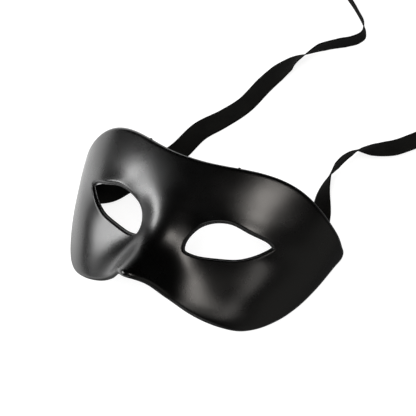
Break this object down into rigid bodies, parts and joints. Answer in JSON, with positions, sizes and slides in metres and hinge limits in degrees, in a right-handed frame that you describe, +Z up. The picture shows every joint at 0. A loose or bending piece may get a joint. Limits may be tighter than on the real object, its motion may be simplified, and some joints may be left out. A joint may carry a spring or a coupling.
{
  "type": "masquerade mask",
  "caption": "Plain black half mask of thin moulded plastic, lying face up, with open eyes, a nose, turned-back edges and a loose ribbon tie bonded inside each temple.",
  "frame": {"origin": "middle of the footprint of the shell, on the surface that the mask lies on", "axes": "+X to the wearer's left along the mask's width, +Y towards the brow edge, +Z up, out of the mask's face"},
  "size_m": [0.1925, 0.2118, 0.0522],
  "materials": {
    "shell": "satin black moulded plastic",
    "ribbon": "matte black woven ribbon",
    "pad": "matte black"
  },
  "bodies": {
    "root": {"mask_shell": "shell", "tie_pad_left": "pad", "tie_pad_right": "pad", "tie_left": "ribbon", "tie_right": "ribbon"}
  },
  "joints": []
}
